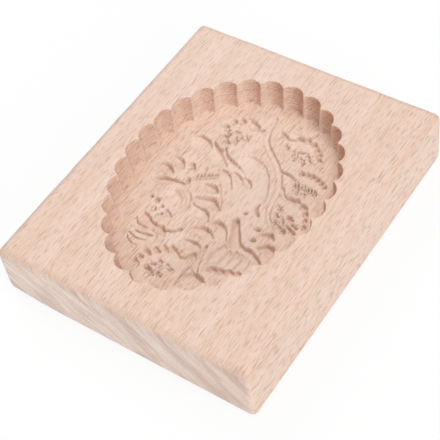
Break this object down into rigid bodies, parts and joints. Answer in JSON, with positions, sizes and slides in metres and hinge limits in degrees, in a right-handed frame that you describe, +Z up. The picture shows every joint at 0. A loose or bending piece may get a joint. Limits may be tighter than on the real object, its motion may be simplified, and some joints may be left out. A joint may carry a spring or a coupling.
{
  "type": "cookie mould",
  "caption": "Flat wooden cookie mould: a rounded plank with an egg-shaped fluted recess and a carved floor of leaves, fruit, petals and a bird.",
  "frame": {"origin": "middle of the plank's flat underside", "axes": "+X across the plank, +Y along the grain towards the wide end of the egg, +Z up out of the carved face"},
  "size_m": [0.0984, 0.12, 0.0225],
  "materials": {
    "beech": "sanded bare beech, flecked, grain along the length"
  },
  "bodies": {
    "root": {"mould_block": "beech"}
  },
  "joints": []
}
